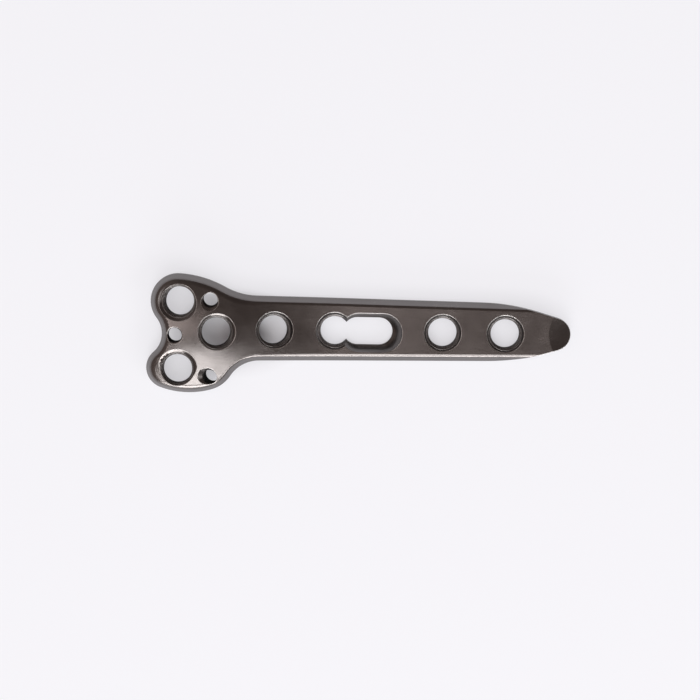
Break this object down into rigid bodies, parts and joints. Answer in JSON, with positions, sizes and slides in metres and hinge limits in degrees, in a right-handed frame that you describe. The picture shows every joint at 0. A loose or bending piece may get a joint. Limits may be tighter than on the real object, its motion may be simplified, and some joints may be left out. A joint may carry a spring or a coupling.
{
  "type": "orthopedic bone plate",
  "caption": "Small bone fixation plate with a two-lobed head, threaded locking holes, a slotted hole, wire holes and a tapered tip.",
  "frame": {"origin": "axis of the middle shaft hole, on the underside of the shaft", "axes": "+X along the shaft towards the tip, +Z out of the top face, -X towards the two-lobed head"},
  "size_m": [0.0636, 0.0179, 0.0048],
  "materials": {
    "anodised_titanium": "satin dark grey-brown anodised titanium"
  },
  "bodies": {
    "root": {"plate": "anodised_titanium"}
  },
  "joints": []
}
